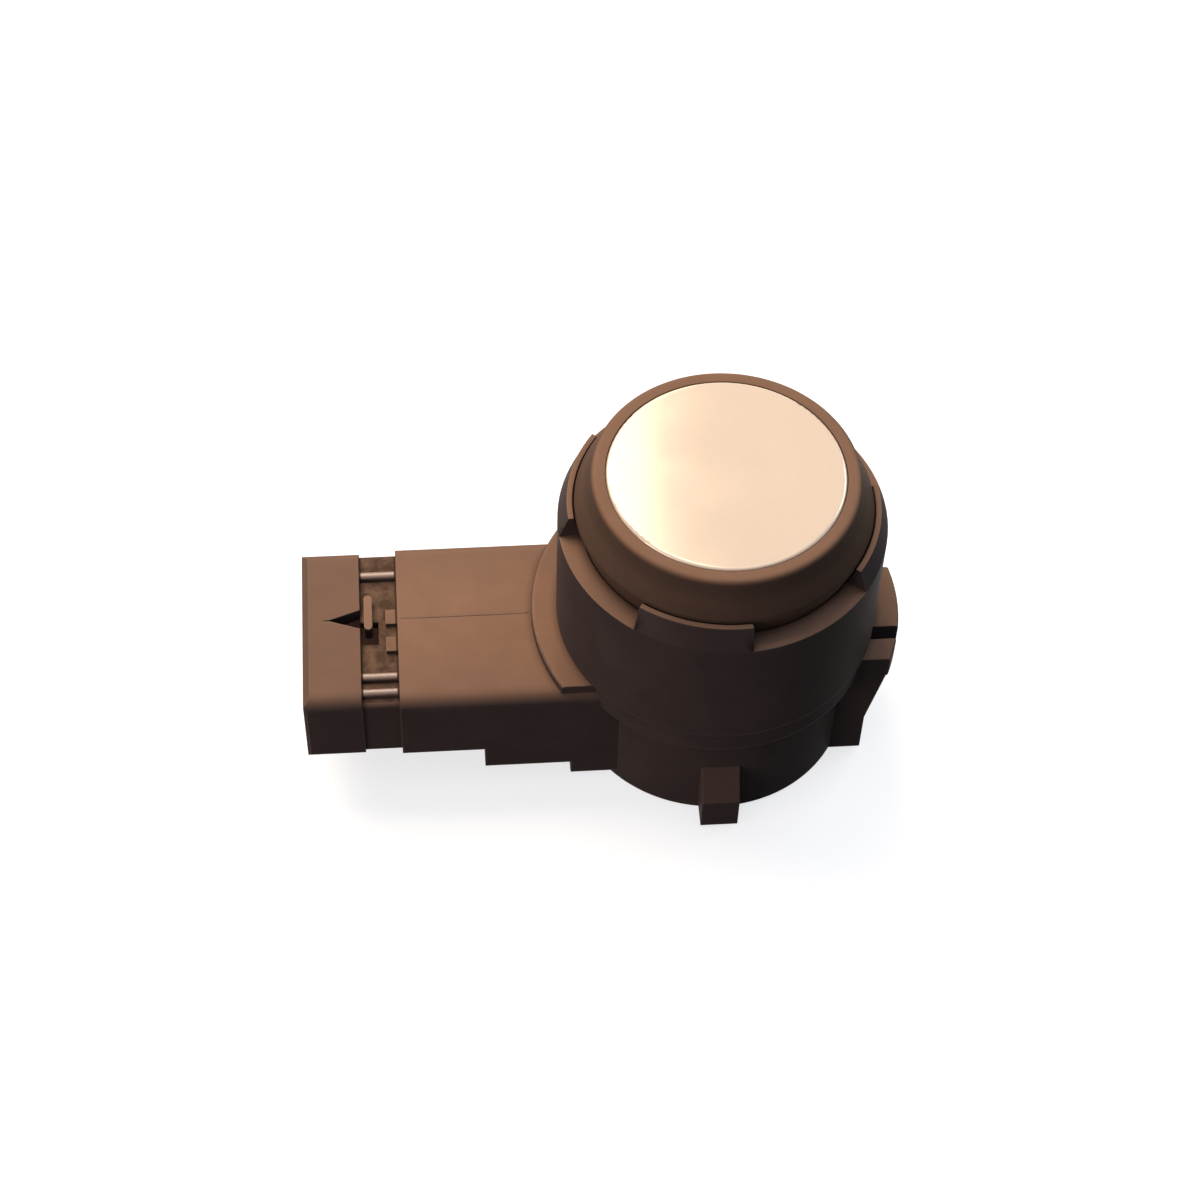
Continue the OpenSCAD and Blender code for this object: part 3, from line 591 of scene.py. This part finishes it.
# At place p on the outline and angle a round: x is the outline's radius times cos a, y the same times sin a,
# and z is the outline's height
def addSleeve(look):
    cupLow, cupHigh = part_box("membrane_cup")
    ringLow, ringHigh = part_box("decoupling_ring")
    wall = cupHigh.x
    bore = wall + look["clearance"]
    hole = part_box("contact_carrier")[1].x - look["seat"]
    seat = cupLow.z - look["clearance"]
    top = ringHigh.z
    corners = np.array([
        (hole, ringLow.z),
        (wall + look["waistOut"], ringLow.z),
        (wall + look["waistOut"], top - look["waistDown"]),
        (wall + look["skirtOut"], top - look["skirtDown"]),
        (wall + look["shoulderOut"], top - look["shoulderDown"]),
        (wall + look["lip"], top),
        (bore, top),
        (bore, seat),
        (hole, seat),
    ])
    outline = roundedLoop(corners, np.array(look["rounding"]) * mm, look["steps"])
    a = turnSteps(look["around"])
    radius, height = outline[:, :1], outline[:, 1:]
    grid = np.stack([radius * np.cos(a), radius * np.sin(a), height + 0 * a], 2)
    faces = gridFaces(len(outline), look["around"], True)
    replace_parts(addPiece("ringSleeve", grid.reshape(-1, 3), faces, "ring_rubber"), "decoupling_ring")


addSleeve(sleeveLook)
print("ring sleeve made")


# Parting bead: a low ridge on the socket's top, where the two halves of the mould met
beadLook = {
    "from": mouth + 6.7 * mm,  # just behind the groove
    "to": mouth + 15.7 * mm,  # just short of the flange
    "y": 0.4 * mm,
    "width": 0.16 * mm,
    "height": 0.035 * mm,
    "along": 60,
    "around": 16,
    "endGap": 0.0002,  # share of the length left off at both ends, so that they don't shrink to a point
}


# At t along and angle a round: x runs from end to end, y and z follow a flat oval on the socket's top,
# and its size, the fourth root of sin(pi t), falls to about a sixth at both ends
def addBead(look):
    t = np.linspace(look["endGap"], 1 - look["endGap"], look["along"])[:, None]
    a = turnSteps(look["around"])
    size = np.sin(math.pi * t) ** (1 / 4)
    x = look["from"] + (look["to"] - look["from"]) * t + 0 * a
    y = look["y"] + look["width"] / 2 * size * np.cos(a)
    z = socketTop + look["height"] * size * np.sin(a)
    points = np.stack([x, y, z], 2).reshape(-1, 3)
    sides = gridFaces(look["along"], look["around"], False)
    lids = [list(range(look["around"]))[::-1], list(range(len(points) - look["around"], len(points)))]
    addPiece("partingBead", points, sides + lids, "housing_plastic")


addBead(beadLook)
print("bead added")


# 1 where the camera, a mirror or clear glass looks at a surface, and 0 where it only lights the object
def seenMask(tree):
    path = addNode(tree, "ShaderNodeLightPath")
    seen = mathNode(tree, "MAXIMUM", path.outputs["Is Camera Ray"], path.outputs["Is Glossy Ray"])
    return mathNode(tree, "MAXIMUM", seen, path.outputs["Is Transmission Ray"])


# Floor: white where it is seen, dim where it only throws light back at the object
floorLook = {
    "radius": 2.0,
    "around": 96,
    "below": 0.02 * mm,  # under the object's lowest point
    "seen": (0.5, 0.5, 0.5),
    "bounce": (0.06, 0.055, 0.05),
    "lift": 0.72,  # light of its own where it is seen
}


# One flat face, whose corners at angle a are the radius times cos a and sin a
def addFloor(look):
    a = turnSteps(look["around"])
    level = np.full_like(a, cadLow.z - look["below"])
    rim = np.stack([look["radius"] * np.cos(a), look["radius"] * np.sin(a), level], 1)
    mesh = bpy.data.meshes.new("floor")
    mesh.from_pydata(rim.tolist(), [], [list(range(len(rim)))])
    floor = bpy.data.objects.new("floor", mesh)
    scene.collection.objects.link(floor)
    material, tree, shader = newMaterial("floorPaper")
    seen = seenMask(tree)
    tree.links.new(mixColour(tree, seen, look["bounce"], look["seen"]), shader.inputs["Base Color"])
    shader.inputs["Roughness"].default_value = 1.0
    shader.inputs["Specular IOR Level"].default_value = 0.0
    shader.inputs["Emission Color"].default_value = (1, 1, 1, 1)
    tree.links.new(mathNode(tree, "MULTIPLY", seen, look["lift"]), shader.inputs["Emission Strength"])
    mesh.materials.append(material)


# World: white behind everything, a low even light otherwise
worldLook = {
    "seen": (1.0, 1.0, 1.0),
    "light": (0.088, 0.112, 0.155),
}


def setWorld(look):
    world = bpy.data.worlds.new("paleRoom")
    world.use_nodes = True
    scene.world = world
    tree = world.node_tree
    shade = mixColour(tree, seenMask(tree), look["light"], look["seen"])
    tree.links.new(shade, tree.nodes["Background"].inputs["Color"])


# Lamps: each is turned to face the sounding face's middle, then moved aside without turning
lamps = {
    "keyPanel": {
        "azimuth": 180,
        "elevation": 53,
        "distance": 240 * mm,
        "aside": 116 * mm,  # its edge shows in the sounding face, left of the middle
        "size": (260 * mm, 240 * mm),
        "colour": (1.0, 0.82, 0.64),
        "watts": 1.16,
    },
    "topPanel": {
        "azimuth": 0,
        "elevation": 86,
        "distance": 400 * mm,
        "aside": 0 * mm,
        "size": (400 * mm, 400 * mm),
        "colour": (0.94, 0.96, 1.0),
        "watts": 0.42,
    },
    "frontPanel": {
        "azimuth": -58,
        "elevation": 9,
        "distance": 400 * mm,
        "aside": 0 * mm,
        "size": (250 * mm, 200 * mm),
        "colour": (1.0, 0.79, 0.72),
        "watts": 0.74,
    },
    "latchPanel": {
        "azimuth": 126,
        "elevation": 32,
        "distance": 400 * mm,
        "aside": 0 * mm,
        "size": (250 * mm, 200 * mm),
        "colour": (0.8, 0.9, 1.0),
        "watts": 0.55,
    },
}


def addLamp(name, lamp):
    data = bpy.data.lights.new(name, "AREA")
    data.shape = "RECTANGLE"
    data.size, data.size_y = lamp["size"]
    data.energy = lamp["watts"]
    data.color = lamp["colour"]
    turn = viewTurn(lamp["azimuth"], lamp["elevation"], 0)
    place = faceMiddle() + turn @ Vector((lamp["aside"], 0, lamp["distance"]))
    light = bpy.data.objects.new(name, data)
    light.matrix_world = Matrix.Translation(place) @ turn.to_4x4()
    scene.collection.objects.link(light)


addFloor(floorLook)
setWorld(worldLook)
for lampName, lamp in lamps.items():
    addLamp(lampName, lamp)
print("stage and lamps set")
